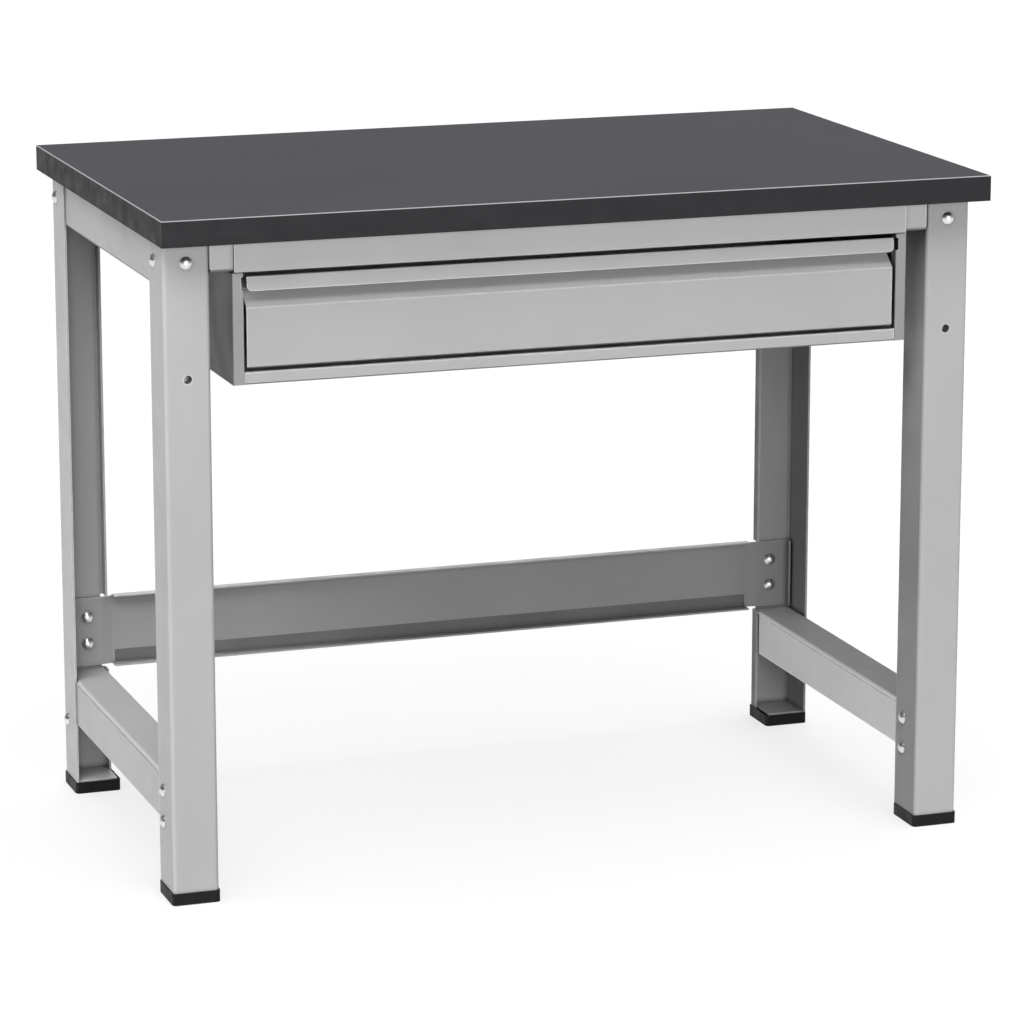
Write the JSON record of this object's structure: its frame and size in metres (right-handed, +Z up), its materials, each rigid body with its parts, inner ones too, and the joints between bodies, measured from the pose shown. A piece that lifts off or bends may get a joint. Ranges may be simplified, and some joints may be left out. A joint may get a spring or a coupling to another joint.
{
  "type": "workbench with drawer",
  "caption": "Free-standing steel workbench with a thick laminated worktop on folded channel legs, and a wide shallow drawer on telescopic slides below the top.",
  "frame": {"origin": "on the floor, under the middle of the worktop", "axes": "+X along the worktop, to the right as seen from the drawer side; +Y to the rear; +Z up"},
  "size_m": [1, 0.6, 0.8],
  "materials": {
    "chipboard": "raw chipboard",
    "grey_laminate": "fine textured dark grey laminate",
    "backing_laminate": "plain backing laminate",
    "grey_edge": "dark grey edge band",
    "black_plastic": "moulded black plastic",
    "zinc_steel": "zinc plated rolled steel",
    "bright_steel": "polished balls in plated strip",
    "dark_steel": "blackened steel",
    "zinc_fastener": "bright zinc",
    "grey_paint": "satin light grey powder coat"
  },
  "bodies": {
    "bench": {"corner_bolts": "zinc_fastener", "corner_nuts": "zinc_fastener", "crossbar_bolts": "zinc_fastener", "crossbar_nuts": "zinc_fastener", "edge_band_front": "grey_edge", "edge_band_left": "grey_edge", "edge_band_rear": "grey_edge", "edge_band_right": "grey_edge", "foot_cap_front_left": "black_plastic", "foot_cap_front_right": "black_plastic", "foot_cap_rear_left": "black_plastic", "foot_cap_rear_right": "black_plastic", "front_crossbar": "grey_paint", "housing_back": "grey_paint", "housing_fascia": "grey_paint", "housing_front_rail": "grey_paint", "housing_screws": "zinc_fastener", "housing_side_left": "grey_paint", "housing_side_right": "grey_paint", "leg_front_left": "grey_paint", "leg_front_right": "grey_paint", "leg_insert_left": "dark_steel", "leg_insert_right": "dark_steel", "leg_rear_left": "grey_paint", "leg_rear_right": "grey_paint", "lower_rail_bolts": "zinc_fastener", "lower_rail_nuts": "zinc_fastener", "lower_side_rail_left": "grey_paint", "lower_side_rail_right": "grey_paint", "rear_crossbar": "grey_paint", "rear_stretcher": "grey_paint", "side_rail_bolts": "zinc_fastener", "side_rail_nuts": "zinc_fastener", "slide_fixed_left": "zinc_steel", "slide_fixed_right": "zinc_steel", "slide_spacer_left": "grey_paint", "slide_spacer_right": "grey_paint", "stretcher_bolts": "zinc_fastener", "stretcher_nuts": "zinc_fastener", "upper_side_rail_left": "grey_paint", "upper_side_rail_right": "grey_paint", "worktop_backing": "backing_laminate", "worktop_core": "chipboard", "worktop_laminate": "grey_laminate", "worktop_screws": "zinc_fastener"},
    "drawer": {"drawer_back": "grey_paint", "drawer_bottom": "grey_paint", "drawer_front": "grey_paint", "drawer_side_left": "grey_paint", "drawer_side_right": "grey_paint", "slide_inner_left": "zinc_steel", "slide_inner_right": "zinc_steel"},
    "slide_middle_body_left": {"slide_middle_left": "zinc_steel"},
    "outer_balls_left": {"ball_cage_outer_left": "bright_steel"},
    "inner_balls_left": {"ball_cage_inner_left": "bright_steel"},
    "slide_middle_body_right": {"slide_middle_right": "zinc_steel"},
    "outer_balls_right": {"ball_cage_outer_right": "bright_steel"},
    "inner_balls_right": {"ball_cage_inner_right": "bright_steel"}
  },
  "joints": [
    {"name": "drawer_slide", "type": "slide", "parent": "bench", "child": "drawer", "axis": [0, -1, 0], "range_m": [0, 0.27]},
    {"name": "slide_middle_joint_left", "type": "slide", "parent": "bench", "child": "slide_middle_body_left", "axis": [0, -1, 0], "range_m": [0, 0.135]},
    {"name": "outer_balls_joint_left", "type": "slide", "parent": "bench", "child": "outer_balls_left", "axis": [0, -1, 0], "range_m": [0, 0.0675]},
    {"name": "inner_balls_joint_left", "type": "slide", "parent": "bench", "child": "inner_balls_left", "axis": [0, -1, 0], "range_m": [0, 0.2025]},
    {"name": "slide_middle_joint_right", "type": "slide", "parent": "bench", "child": "slide_middle_body_right", "axis": [0, -1, 0], "range_m": [0, 0.135]},
    {"name": "outer_balls_joint_right", "type": "slide", "parent": "bench", "child": "outer_balls_right", "axis": [0, -1, 0], "range_m": [0, 0.0675]},
    {"name": "inner_balls_joint_right", "type": "slide", "parent": "bench", "child": "inner_balls_right", "axis": [0, -1, 0], "range_m": [0, 0.2025]}
  ],
  "couplings": [
    {"joint": "slide_middle_joint_left", "follows": "drawer_slide", "ratio": 0.5},
    {"joint": "outer_balls_joint_left", "follows": "drawer_slide", "ratio": 0.25},
    {"joint": "inner_balls_joint_left", "follows": "drawer_slide", "ratio": 0.75},
    {"joint": "slide_middle_joint_right", "follows": "drawer_slide", "ratio": 0.5},
    {"joint": "outer_balls_joint_right", "follows": "drawer_slide", "ratio": 0.25},
    {"joint": "inner_balls_joint_right", "follows": "drawer_slide", "ratio": 0.75}
  ]
}
